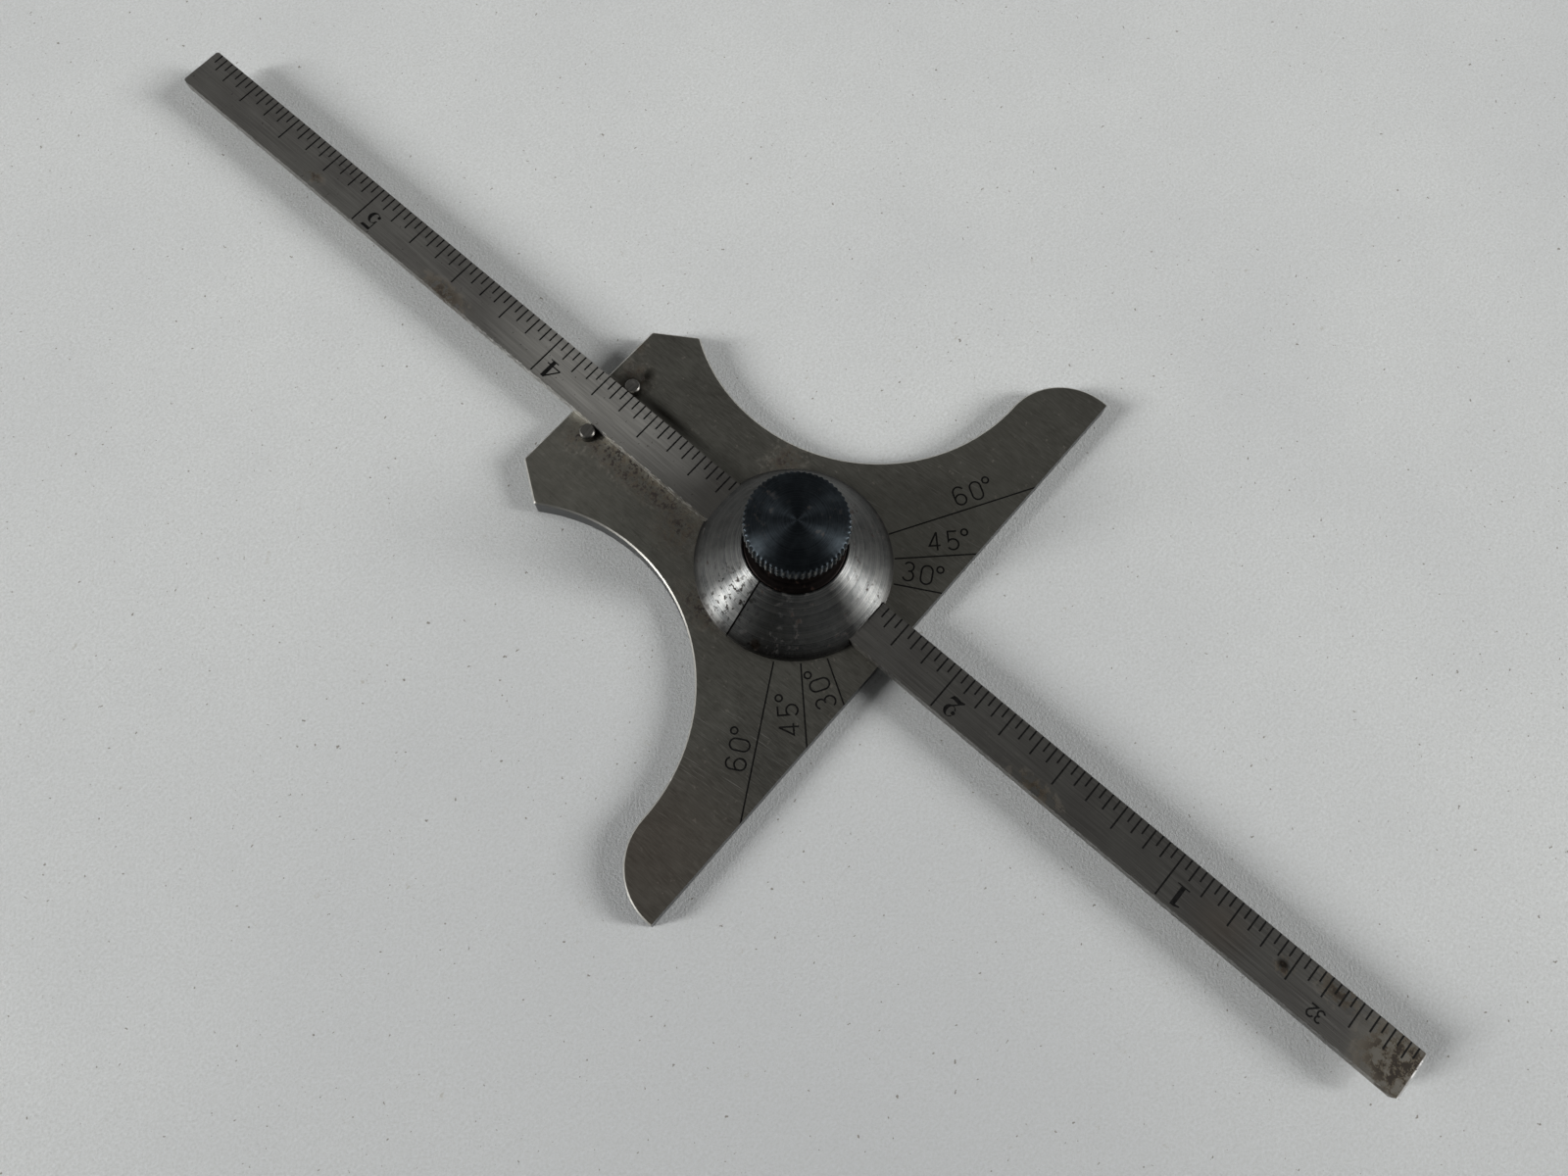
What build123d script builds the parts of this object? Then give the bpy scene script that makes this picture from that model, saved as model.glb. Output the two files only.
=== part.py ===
from build123d import *
from math import asin, cos, degrees, radians, sin, sqrt
import os

# Angle and depth gauge, in millimetres, +Z up.
# The origin is the middle of the base edge, on the underside. The base edge is held against the work.
# +Y runs back over the head towards the tail, along the rule when the turret is set square.

# Rule blade
inch = 25.4
rule_inches = 6
divisions_per_inch = 32
rule_width = 4.76
rule_thickness = 1.19
depth_reading = 56.85
rule_corner_radius = 0.3
tick_width = 0.17
inch_tick = 4.6
half_inch_tick = 3.0
quarter_inch_tick = 2.65
eighth_inch_tick = 2.15
sixteenth_inch_tick = 1.75
least_tick = 1.15
numeral_height = 2.0
numeral_setback = 1.6
denominator_height = 1.1
denominator_setback = 9.1
denominator_margin = 0.65
rule_engraving_depth = 0.05

# Head plate
plate_thickness = 2.38
base_length = 66.6
head_depth = 39.15
pivot_to_base = 12.4
wing_radius = 6.35
wing_land = 0.55
bay_radius = 18.15
tail_clip_depth = 4.0
tail_clip_width = 2.7
tail_corner_radius = 0.4
edge_break = 0.15

# Angle marks on the head plate
angle_line_width = 0.15
angle_line_gap = 0.2
plate_engraving_depth = 0.08
label_height = 1.85
label_stroke = 0.17
label_lift = 0.58
label_pitch = 1.75
degree_pitch = 1.2
degree_lift = 1.68
label_reach_left_60 = 17.9
label_reach_left_45 = 14.0
label_reach_left_30 = 11.8
label_reach_right_60 = 19.3
label_reach_right_45 = 15.4
label_reach_right_30 = 12.6

# Guide pins
guide_pin_diameter = 1.59
guide_pin_inset = 2.95
guide_pin_proud = 1.0
guide_pin_chamfer = 0.15
guide_pin_recess = 0.1

# Turret
turret_diameter = 18.9
turret_height = 6.35
turret_land = 0.8
turret_top_diameter = 9.9
turret_rim_break = 0.08
turret_web = 1.4
slot_flat_reach = 8.9
slot_flat_margin = 0.15
index_line_width = 0.18
index_line_depth = 0.08

# Thrust washer, in the recess of the turret's top
washer_thickness = 0.9
washer_chamfer = 0.1
washer_below_rim = 0.05
rim_wall = 0.16

# Clamp stud
thread_diameter = 4.76
thread_pitch = 0.794
loosen_turns = 0.5
window_wall = 1.5
flange_margin = 2.1
flange_thickness = 0.6
stud_below_nut_top = 1.7
stud_tip_chamfer = 0.4

# Disc spring, under the head plate
spring_height = 0.35
spring_thickness = 0.2

# Lock nut
nut_height = 6.15
nut_head_diameter = 9.52
nut_head_height = 2.2
nut_hub_diameter = 6.6
nut_crown = 1.2
nut_edge_chamfer = 0.15
knurl_count = 54
knurl_depth = 0.13

# Clearances
running_clearance = 0.05
pin_fit = 0.01
rule_lift = 0.02
clamp_gap = 0.03
pin_gap = 0.03
face_gap = 0.01
underside_gap = 0.1
window_gap = 0.1
washer_clearance = 0.08

# Heights, worked out from the sizes above
stud_drop = thread_pitch * loosen_turns
rule_bottom = plate_thickness + rule_lift
rule_top = rule_bottom + rule_thickness
slot_ceiling = rule_top + clamp_gap
turret_bottom = plate_thickness + clamp_gap
turret_top = plate_thickness + turret_height
recess_floor = turret_top - washer_below_rim - washer_thickness
web_bottom = recess_floor - turret_web
washer_top = turret_top - washer_below_rim
nut_top = washer_top + nut_height
nut_head_bottom = nut_top - nut_head_height
flange_bottom = underside_gap + stud_drop
flange_top = flange_bottom + flange_thickness
counterbore_depth = flange_top + spring_height + 2 * face_gap
shank_top = web_bottom - stud_drop - face_gap

# Radii, worked out from the sizes above
shank_radius = rule_width / 2 + window_wall
pivot_bore_radius = shank_radius + running_clearance
flange_radius = shank_radius + flange_margin
counterbore_radius = flange_radius + running_clearance
thread_radius = thread_diameter / 2
thread_hole_radius = thread_radius + running_clearance
recess_radius = turret_top_diameter / 2 - rim_wall
washer_radius = recess_radius - washer_clearance
guide_pin_radius = guide_pin_diameter / 2
guide_pin_offset = rule_width / 2 + pin_gap + guide_pin_radius
guide_pin_line = head_depth - guide_pin_inset

# Rule places
rule_length = rule_inches * inch
rule_zero = -depth_reading

pivot = (0, pivot_to_base)
pivot_axis = Axis((0, pivot_to_base, 0), (0, 0, 1))
pivot_section = Plane(origin=(0, pivot_to_base, 0), x_dir=(1, 0, 0), z_dir=(0, -1, 0))


def stroke_number(character, height, stroke):
    """A plain single-stroke figure, centred on x = 0, standing on y = 0."""
    bowl = 0.29 * height
    crown = height - bowl
    waist = 0.52 * height
    with BuildSketch() as figure:
        with BuildLine():
            if character == "0":
                Line((-bowl, bowl), (-bowl, crown))
                CenterArc((0, crown), bowl, 180, -180)
                Line((bowl, crown), (bowl, bowl))
                CenterArc((0, bowl), bowl, 0, -180)
            if character == "2":
                neck = CenterArc((0, crown), bowl, 165, -205)
                Polyline(neck @ 1, (-bowl, 0), (bowl, 0))
            if character == "3":
                CenterArc((0, (height + waist) / 2), (height - waist) / 2, 155, -250)
            if character == "4":
                Polyline((0.12 * height, height), (-bowl, 0.27 * height), (bowl, 0.27 * height))
            if character == "5":
                belly = CenterArc((0, bowl), bowl, 140, -290)
                Polyline(belly @ 0, (-0.8 * bowl, height), (0.8 * bowl, height))
            if character == "6":
                CenterArc((0, crown), bowl, 25, 155)
                Line((-bowl, crown), (-bowl, bowl))
                CenterArc((0, bowl), bowl, 180, 315)
            if character == "°":
                CenterArc((0, 0), 0.17 * height, 0, 360)
        trace(line_width=stroke)
        if character in "346":
            with BuildLine():
                if character == "3":
                    CenterArc((0, waist / 2 + 0.02 * height), waist / 2 + 0.02 * height, 75, -230)
                if character == "4":
                    Line((0.12 * height, 0), (0.12 * height, height))
                if character == "6":
                    Line((-bowl / sqrt(2), bowl + bowl / sqrt(2)), (-bowl, sqrt(2) * bowl))
            trace(line_width=stroke)
    return figure.sketch


def bowl_with_ball(centre, radius, ball, size):
    """A round bowl, thin above and below, thick on the right and open on the left, with a ball end."""
    x, y = centre
    with Locations((x, y)):
        Circle(radius)
    with Locations((x - 0.16 * radius, y)):
        Ellipse(0.52 * radius, 0.86 * radius, mode=Mode.SUBTRACT)
    with Locations((x - radius, y + (ball - y) / 2)):
        Rectangle(1.3 * radius, 0.9 * radius, mode=Mode.SUBTRACT)
    with Locations((x - 0.72 * radius, ball)):
        Circle(size)


def straight_stroke(height, *corners):
    """One straight-edged stroke of a figure, with its corners as shares of the figure's height."""
    Polygon(*[(u * height, v * height) for u, v in corners], align=None)


def book_number(character, height):
    """A bold figure with thick and thin strokes, centred on x = 0, standing on y = 0."""
    h = height
    with BuildSketch() as figure:
        if character == "1":
            straight_stroke(height, (-0.11, 0), (0.11, 0), (0.11, 1), (-0.11, 1))
            straight_stroke(height, (-0.32, 0), (0.32, 0), (0.32, 0.06), (-0.32, 0.06))
            straight_stroke(height, (-0.1, 1), (-0.34, 0.9), (-0.34, 0.84), (-0.1, 0.88))
        if character == "2":
            bowl_with_ball((0.02 * h, 0.71 * h), 0.29 * h, 0.72 * h, 0.1 * h)
            straight_stroke(height, (0.31, 0.66), (0.1, 0.56), (-0.36, 0.06), (-0.14, 0.2))
            foot = [(-0.36, 0), (-0.14, 0.05), (0.1, 0), (0.27, 0.03)]
            wave = [(0.37, 0.28), (0.22, 0.2), (-0.18, 0.25), (-0.36, 0.08)]
            straight_stroke(height, *foot, *wave)
        if character == "3":
            bowl_with_ball((0, 0.76 * h), 0.24 * h, 0.8 * h, 0.075 * h)
            bowl_with_ball((0, 0.28 * h), 0.28 * h, 0.18 * h, 0.085 * h)
        if character == "4":
            straight_stroke(height, (0.06, 0), (0.28, 0), (0.28, 1), (0.06, 1))
            straight_stroke(height, (-0.08, 0), (0.42, 0), (0.42, 0.06), (-0.08, 0.06))
            straight_stroke(height, (-0.42, 0.24), (0.44, 0.24), (0.44, 0.31), (-0.42, 0.31))
            straight_stroke(height, (0.1, 1), (-0.42, 0.31), (-0.32, 0.31), (0.1, 0.86))
        if character == "5":
            bowl_with_ball((0, 0.31 * h), 0.31 * h, 0.15 * h, 0.09 * h)
            straight_stroke(height, (-0.28, 0.4), (-0.22, 0.45), (-0.22, 1), (-0.28, 1))
            straight_stroke(height, (-0.28, 0.84), (0.24, 0.84), (0.32, 1), (-0.28, 1))
    return figure.sketch


label_figures = {c: stroke_number(c, label_height, label_stroke) for c in "03456°"}
inch_figures = {n: book_number(str(n), numeral_height) for n in range(1, rule_inches)}
denominator_figures = {c: stroke_number(c, denominator_height, 0.15 * denominator_height) for c in "32"}

# Head plate: outline, edge breaks, pivot bore, spring recess, pin holes and engraved marks.
half_base = base_length / 2
wing_height = wing_land + wing_radius
bay_centre = (half_base - wing_radius, wing_height + bay_radius)
shoulder_angle = degrees(asin((head_depth - tail_clip_depth - bay_centre[1]) / bay_radius))

# Each angle mark, in degrees from square, with the reach of its two numbers from the pivot
angle_marks = {
    60: (label_reach_left_60, label_reach_right_60),
    45: (label_reach_left_45, label_reach_right_45),
    30: (label_reach_left_30, label_reach_right_30),
}

with BuildPart() as head_plate:
    with BuildSketch() as outline:
        with BuildLine():
            Line((0, 0), (half_base, 0))
            Line((half_base, 0), (half_base, wing_land))
            CenterArc((bay_centre[0], wing_land), wing_radius, 0, 90)
            bay = CenterArc(bay_centre, bay_radius, 270, -(90 + shoulder_angle))
            shoulder = bay @ 1
            Polyline(shoulder, (shoulder.X - tail_clip_width, head_depth), (0, head_depth), (0, 0))
        make_face()
        mirror(about=Plane.YZ)
        fillet(outline.vertices().sort_by(Axis.Y)[-4:], tail_corner_radius)
    extrude(amount=plate_thickness)
    rims = head_plate.faces().filter_by(Plane.XY).edges()
    chamfer(rims.filter_by_position(Axis.Y, edge_break, head_depth, (True, True)), edge_break)
    with BuildSketch():
        with Locations(pivot):
            Circle(pivot_bore_radius)
        with Locations((0, guide_pin_line)):
            with GridLocations(2 * guide_pin_offset, 0, 2, 1):
                Circle(guide_pin_radius + pin_fit)
    extrude(amount=plate_thickness, mode=Mode.SUBTRACT)
    with BuildSketch():
        with Locations(pivot):
            Circle(counterbore_radius)
    extrude(amount=counterbore_depth, mode=Mode.SUBTRACT)
    with BuildSketch(Plane.XY.offset(plate_thickness)):
        line_start = turret_diameter / 2 + angle_line_gap
        for mark, reaches in angle_marks.items():
            for side, reach in zip((-1, 1), reaches):
                slope = radians(90 - mark)
                tilt = -side * (90 - mark)
                line_end = (pivot_to_base + angle_line_width) / sin(slope)
                middle = (line_start + line_end) / 2
                line_place = (side * middle * cos(slope), pivot_to_base - middle * sin(slope), 0)
                with Locations(Location(line_place, (0, 0, tilt))):
                    Rectangle(line_end - line_start, angle_line_width)
                figures = list(str(mark)) + ["°"]
                steps = (-label_pitch, 0, degree_pitch)
                lifts = (label_lift, label_lift, label_lift + degree_lift)
                for figure, step, lift in zip(figures, steps, lifts):
                    along = side * reach + step
                    x = along * cos(slope) + side * lift * sin(slope)
                    y = pivot_to_base - side * along * sin(slope) + lift * cos(slope)
                    with Locations(Location((x, y, 0), (0, 0, tilt))):
                        add(label_figures[figure])
    extrude(amount=-plate_engraving_depth, mode=Mode.SUBTRACT)
head_plate.part.label = "head_plate"


def guide_pin(side):
    """A short dowel pin, pressed into the tail of the head plate, with a chamfered top."""
    with BuildPart() as pin:
        with BuildSketch(Plane.XY.offset(guide_pin_recess)):
            with Locations((side * guide_pin_offset, guide_pin_line)):
                Circle(guide_pin_radius)
        extrude(amount=plate_thickness + guide_pin_proud - guide_pin_recess)
        chamfer(pin.faces().sort_by(Axis.Z)[-1].edges(), guide_pin_chamfer)
    return pin


guide_pin_left = guide_pin(-1)
guide_pin_left.part.label = "guide_pin_left"
guide_pin_right = guide_pin(1)
guide_pin_right.part.label = "guide_pin_right"

# Rule blade: graduated along its +X edge, with the numbers standing towards -X.
# Each length of line is drawn at every such number of 32nds that no longer line has taken.
tick_lengths = {
    32: inch_tick,
    16: half_inch_tick,
    8: quarter_inch_tick,
    4: eighth_inch_tick,
    2: sixteenth_inch_tick,
    1: least_tick,
}

with BuildPart() as rule_blade:
    with BuildSketch(Plane.XY.offset(rule_bottom)) as blade:
        with Locations((0, rule_zero)):
            Rectangle(rule_width, rule_length, align=(Align.CENTER, Align.MIN))
        fillet(blade.vertices(), rule_corner_radius)
    extrude(amount=rule_thickness)
    with BuildSketch(Plane.XY.offset(rule_top)):
        for step, tick_length in tick_lengths.items():
            marks = [
                (rule_width / 2, rule_zero + k * inch / divisions_per_inch)
                for k in range(step, rule_inches * divisions_per_inch, step)
                if step == divisions_per_inch or k % (2 * step)
            ]
            with Locations(*marks):
                Rectangle(tick_length, tick_width, align=(Align.MAX, Align.CENTER))
    extrude(amount=-rule_engraving_depth, mode=Mode.SUBTRACT)
    with BuildSketch(Plane.XY.offset(rule_top)):
        for number, figure in inch_figures.items():
            with Locations(Location((0, rule_zero + number * inch - numeral_setback, 0), (0, 0, 90))):
                add(figure)
        for k, figure in enumerate(("3", "2")):
            place = rule_zero + denominator_setback + (k - 0.5) * 0.75 * denominator_height
            baseline = denominator_margin + denominator_height - rule_width / 2
            with Locations(Location((baseline, place, 0), (0, 0, 90))):
                add(denominator_figures[figure])
    extrude(amount=-rule_engraving_depth, mode=Mode.SUBTRACT)
rule_blade.part.label = "rule_blade"

# Turret: turned cone, bored for the stud, recessed for the washer and slotted for the rule.
turret_radius = turret_diameter / 2
turret_rim_radius = turret_top_diameter / 2
cone_bottom = turret_bottom + turret_land

with BuildPart() as turret:
    with BuildSketch(pivot_section):
        Polygon(
            (pivot_bore_radius, turret_bottom),
            (turret_radius, turret_bottom),
            (turret_radius, cone_bottom),
            (turret_rim_radius, turret_top),
            (recess_radius + turret_rim_break, turret_top),
            (recess_radius, turret_top - turret_rim_break),
            (recess_radius, recess_floor),
            (thread_hole_radius, recess_floor),
            (thread_hole_radius, web_bottom),
            (pivot_bore_radius, web_bottom),
            align=None,
        )
    revolve(axis=pivot_axis)
    slot_half_width = rule_width / 2 + running_clearance
    with BuildSketch(Plane.XY.offset(turret_bottom)):
        with Locations(pivot):
            Rectangle(2 * slot_half_width, turret_diameter)
    extrude(amount=slot_ceiling - turret_bottom, mode=Mode.SUBTRACT)
    with BuildSketch(Plane.XY.offset(turret_bottom)):
        flat_width = 2 * (slot_half_width + slot_flat_margin)
        for end, align in ((1, Align.MIN), (-1, Align.MAX)):
            with Locations((0, pivot_to_base + end * slot_flat_reach)):
                Rectangle(flat_width, turret_radius, align=(Align.CENTER, align))
    extrude(amount=turret_height, mode=Mode.SUBTRACT)
    with BuildSketch(pivot_section):
        Polygon(
            (-turret_radius, turret_bottom),
            (-turret_radius + index_line_depth, turret_bottom),
            (-turret_radius + index_line_depth, cone_bottom),
            (-turret_rim_radius + index_line_depth, turret_top),
            (-turret_rim_radius, turret_top),
            (-turret_radius, cone_bottom),
            align=None,
        )
    extrude(amount=index_line_width / 2, both=True, mode=Mode.SUBTRACT)
turret.part.label = "turret"

# Thrust washer: lies on the recess floor and takes the nut.
with BuildPart() as thrust_washer:
    with BuildSketch(Plane.XY.offset(recess_floor)):
        with Locations(pivot):
            Circle(washer_radius)
            Circle(thread_hole_radius, mode=Mode.SUBTRACT)
    extrude(amount=washer_thickness)
    washer_rim = thrust_washer.faces().sort_by(Axis.Z)[-1].edges().sort_by(SortBy.RADIUS)[-1]
    chamfer(washer_rim, washer_chamfer)
thrust_washer.part.label = "thrust_washer"

# Clamp stud: flange, round shank with a window for the rule, and the thread.
stud_top = nut_top - stud_below_nut_top
window_bottom = rule_bottom - window_gap
window_top = rule_top + stud_drop + window_gap

with BuildPart() as clamp_stud:
    with BuildSketch(pivot_section):
        Polygon(
            (0, flange_bottom),
            (flange_radius, flange_bottom),
            (flange_radius, flange_top),
            (shank_radius, flange_top),
            (shank_radius, shank_top),
            (thread_radius, shank_top),
            (thread_radius, stud_top - stud_tip_chamfer),
            (thread_radius - stud_tip_chamfer, stud_top),
            (0, stud_top),
            align=None,
        )
    revolve(axis=pivot_axis)
    with BuildSketch(Plane.XY.offset(window_bottom)):
        with Locations(pivot):
            Rectangle(rule_width + 2 * running_clearance, 2 * shank_radius)
    extrude(amount=window_top - window_bottom, mode=Mode.SUBTRACT)
clamp_stud.part.label = "clamp_stud"

# Disc spring: a thin cone between the head plate and the stud's flange.
spring_bottom = flange_top + face_gap
spring_inner = shank_radius + 2 * running_clearance
spring_outer = flange_radius - running_clearance

with BuildPart() as disc_spring:
    with BuildSketch(pivot_section):
        Polygon(
            (spring_inner, spring_bottom + spring_height - spring_thickness),
            (spring_outer, spring_bottom),
            (spring_outer, spring_bottom + spring_thickness),
            (spring_inner, spring_bottom + spring_height),
            align=None,
        )
    revolve(axis=pivot_axis)
disc_spring.part.label = "disc_spring"

# Lock nut: knurled head on a plain hub, with a blind thread.
nut_bottom = washer_top + face_gap
nut_radius = nut_head_diameter / 2
hub_radius = nut_hub_diameter / 2
groove_half_width = 0.42 * nut_radius * radians(360 / knurl_count)

with BuildPart() as lock_nut:
    with BuildSketch(Plane.XY.offset(nut_head_bottom)):
        with Locations(pivot):
            Circle(nut_radius)
            with PolarLocations(nut_radius - knurl_depth, knurl_count):
                Polygon(
                    (0, 0),
                    (1.5 * knurl_depth, -1.5 * groove_half_width),
                    (1.5 * knurl_depth, 1.5 * groove_half_width),
                    align=None,
                    mode=Mode.SUBTRACT,
                )
    extrude(amount=nut_head_height)
    with BuildSketch(pivot_section):
        Polygon(
            (0, nut_head_bottom),
            (nut_radius - nut_edge_chamfer, nut_head_bottom),
            (nut_radius, nut_head_bottom + nut_edge_chamfer),
            (nut_radius, nut_top - nut_edge_chamfer),
            (nut_radius - nut_edge_chamfer, nut_top),
            (0, nut_top),
            align=None,
        )
    revolve(axis=pivot_axis, mode=Mode.INTERSECT)
    with BuildSketch(Plane.XY.offset(nut_bottom)):
        with Locations(pivot):
            Circle(hub_radius)
    extrude(amount=nut_head_bottom - nut_bottom)
    with BuildSketch(Plane.XY.offset(nut_bottom)):
        with Locations(pivot):
            Circle(thread_hole_radius)
    extrude(amount=nut_top - nut_crown - nut_bottom, mode=Mode.SUBTRACT)
lock_nut.part.label = "lock_nut"

pieces = (
    head_plate,
    guide_pin_left,
    guide_pin_right,
    rule_blade,
    turret,
    thrust_washer,
    clamp_stud,
    disc_spring,
    lock_nut,
)
os.makedirs("parts", exist_ok=True)
for piece in pieces:
    export_step(piece.part, f"parts/{piece.part.label}.step")
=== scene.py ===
import math

import bmesh
import bpy
from mathutils import Euler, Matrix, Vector


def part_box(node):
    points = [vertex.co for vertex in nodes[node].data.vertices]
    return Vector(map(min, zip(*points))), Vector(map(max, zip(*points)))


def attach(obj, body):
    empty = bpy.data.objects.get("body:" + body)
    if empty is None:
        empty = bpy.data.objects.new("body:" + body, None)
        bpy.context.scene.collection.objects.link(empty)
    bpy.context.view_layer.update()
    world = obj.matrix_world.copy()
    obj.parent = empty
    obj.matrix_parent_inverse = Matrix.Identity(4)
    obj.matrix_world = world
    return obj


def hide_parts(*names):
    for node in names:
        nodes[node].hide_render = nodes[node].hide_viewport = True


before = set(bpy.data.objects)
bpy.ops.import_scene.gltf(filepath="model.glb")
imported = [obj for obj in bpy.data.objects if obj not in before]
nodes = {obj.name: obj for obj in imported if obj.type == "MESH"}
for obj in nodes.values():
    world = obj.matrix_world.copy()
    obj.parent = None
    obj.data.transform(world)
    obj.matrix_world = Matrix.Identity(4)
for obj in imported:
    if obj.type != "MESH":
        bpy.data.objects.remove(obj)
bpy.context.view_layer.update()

# Angle and depth gauge on a sheet of pale paper.
# Lengths in this script are millimetres, and MM turns them to metres.
MM = 0.001

# Places that the finishes and the pieces need, read from the solids
plate_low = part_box("head_plate")[0]
rule_low, rule_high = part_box("rule_blade")
nut_low, nut_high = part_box("lock_nut")
pivot = (nut_low + nut_high) / 2 / MM
pivot.z = 0
rule_zero = rule_low.y / MM
rule_left = rule_low.x / MM
pin_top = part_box("guide_pin_right")[1].z / MM
nut_radius = (nut_high.x - nut_low.x) / 2 / MM


def srgb(text):
    """Linear colour of an sRGB hex value."""
    parts = [int(text[i:i + 2], 16) / 255 for i in (0, 2, 4)]
    return [c / 12.92 if c <= 0.04045 else ((c + 0.055) / 1.055) ** 2.4 for c in parts] + [1.0]


def add(tree, kind, inputs=(), **settings):
    """One node with its settings and links. Inputs go by place or by name, and a node that is
    given as an input gives its first output."""
    made = tree.nodes.new(kind)
    for name, value in settings.items():
        setattr(made, name, value)
    in_use = [socket for socket in made.inputs if socket.enabled]
    for key, value in inputs.items() if isinstance(inputs, dict) else enumerate(inputs):
        socket = made.inputs[key] if isinstance(key, str) else in_use[key]
        if isinstance(value, bpy.types.Node):
            value = next(output for output in value.outputs if output.enabled)
        if isinstance(value, bpy.types.NodeSocket):
            tree.links.new(value, socket)
        else:
            socket.default_value = value
    return made


def begin(name):
    """A new material, its empty tree, and the object's coordinates in millimetres."""
    material = bpy.data.materials.new(name)
    material.use_nodes = True
    tree = material.node_tree
    tree.nodes.clear()
    place = add(tree, "ShaderNodeTexCoord").outputs["Object"]
    return material, tree, add(tree, "ShaderNodeVectorMath", [place, 1 / MM], operation="SCALE")


def complete(tree, surface):
    """The shader that a material's tree ends in."""
    shader = add(tree, "ShaderNodeBsdfPrincipled", surface)
    add(tree, "ShaderNodeOutputMaterial", {"Surface": shader})


def grain(tree, at, size, low, high, detail=3, roughness=0.6, stretch=(1, 1, 1), turn=0):
    """Noise of a size in millimetres, drawn out and turned in the plane, with low..high as 0..1."""
    drawn_out = {"Vector": at, "Rotation": (0, 0, math.radians(turn)), "Scale": stretch}
    place = add(tree, "ShaderNodeMapping", drawn_out, vector_type="TEXTURE")
    noise = {"Vector": place, "Scale": 1 / size, "Detail": detail, "Roughness": roughness}
    return add(tree, "ShaderNodeMapRange", [add(tree, "ShaderNodeTexNoise", noise), low, high])


# Patches are laid out in the plane, so their half size upwards takes in the whole object
ANY_HEIGHT = 1000


def patches(tree, at, *places):
    """1 in any of some patches, each with its centre, half sizes, and the soft share of them."""
    total = 0.0
    for centre, half_sizes, soft in places:
        patch = {"Vector": at, "Location": (*centre, 0), "Scale": (*half_sizes, ANY_HEIGHT)}
        arm = add(tree, "ShaderNodeMapping", patch, vector_type="TEXTURE")
        reach = add(tree, "ShaderNodeVectorMath", [arm], operation="LENGTH")
        inside = add(tree, "ShaderNodeMapRange", [reach, 1 - soft, 1, 1, 0])
        total = add(tree, "ShaderNodeMath", [inside, total], operation="MAXIMUM")
    return total


def layered(tree, first, *layers):
    """A colour or a number with others laid over it, each as strongly as its masks multiplied."""
    kind = "RGBA" if isinstance(first, str) else "FLOAT"
    under = srgb(first) if kind == "RGBA" else first
    for value, mask, *others in layers:
        for other in others:
            mask = add(tree, "ShaderNodeMath", [mask, other], operation="MULTIPLY")
        over = srgb(value) if kind == "RGBA" else value
        under = add(tree, "ShaderNodeMix", [mask, under, over], data_type=kind)
    return under


# Each patch below has a centre and half sizes as x and y, and the share of it that is soft.
# Where the head is stained or worn:
HEAD_STAINS = (
    ((-3.4, 30), (1.9, 10), 0.5),
    ((-4.6, 23), (3.4, 3.4), 0.8),
    ((-9, 16), (2.2, 4.5), 0.7),
    ((4.4, 37), (2.2, 2.6), 0.7),
    ((7.2, 39), (1.2, 1.2), 0.8),
    ((7.6, 20), (3.6, 2.4), 0.8),
    ((-4.2, 36.8), (2, 2), 0.8),
)
# Dark oil round the right pin, and painted shade in the strip beside the rule's right edge and on
# the inner side of the left pin:
OILY_AND_SHADED = (
    ((3.7, 36.9), (1.5, 1.5), 0.8),
    ((5.2, 36.2), (1.2, 0.9), 0.8),
    ((3.3, 32), (0.9, 6), 0.9),
    ((3.0, 40.4), (0.8, 1.6), 0.8),
    ((-2.6, 35.6), (1.0, 0.9), 0.8),
)
BROWN_WING_TIP = ((-28, 4), (11, 12), 0.8)
DARK_BY_LABELS = ((-16, 3), (9, 7), 0.8)
PALE_TAIL = ((-6.5, 36), (7, 9), 0.8)
PALE_RIGHT_WING = ((22, 6), (16, 12), 0.8)
LABEL_SCRATCHES = (
    ((-18, 5), (9, 7), 0.5),
    ((14, 6), (10, 8), 0.5),
)

# Where the rule is rusty, stained or rubbed:
RUSTY_END = ((0, rule_zero + 1.5), (4, 5), 0.6)
RULE_RUST = (
    RUSTY_END,
    ((1.6, rule_zero + 8.5), (1.6, 3), 0.8),
    ((0.3, rule_zero + 13.3), (1.1, 1.2), 0.6),
    ((-1.9, rule_zero + 114), (1.4, 4.2), 0.8),
    ((-1.8, rule_zero + 39), (1.1, 4), 0.9),
    ((-1.3, rule_zero + 133.5), (0.9, 1.6), 0.8),
)
RULE_TARNISH = ((-0.6, rule_zero + 19.5), (2.6, 3.4), 0.8)
RULE_BLOTCH = ((0.35, rule_zero + 13.5), (0.5, 0.75), 0.6)
RULE_DARK = (
    ((0, rule_zero + 76), (8, 8), 0.5),
    ((0, 20), (8, 7), 0.6),
)
# Where the left edge is worn, and painted brightest as a highlight:
WORN_GLINTING_EDGE = ((rule_left, 38), (2, 18), 0.5)
RUBBED_BY_PINS = ((0.5, 38.5), (4.5, 15), 0.6)
# The edges at the rule's zero end and on its left, painted bright as highlights, the left one also
# worn, each with where it fades out:
RULE_END_HIGHLIGHT = (rule_zero + 0.1, rule_zero + 0.16)
RULE_LEFT_EDGE = (rule_left + 0.03, rule_left + 0.09)

# Where the turret is rusty, with the pivot as the middle:
TURRET_RUST = (
    ((-7, 1.8), (3.2, 4), 0.7),
    ((-8.6, -2.6), (0.7, 0.9), 0.5),
)
TURRET_SPOT = ((-8.5, -2.7), (0.45, 0.6), 0.4)
# The turret's black line, by its half width and by where it starts left of the pivot, and the
# distance from the pivot at which the painted shade round its foot begins:
TURRET_LINE_EDGE = (0.08, 0.1)
TURRET_LINE_START = (-4.7, -4.8)
TURRET_FOOT_SHADE = (8.7, 9.3)

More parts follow.
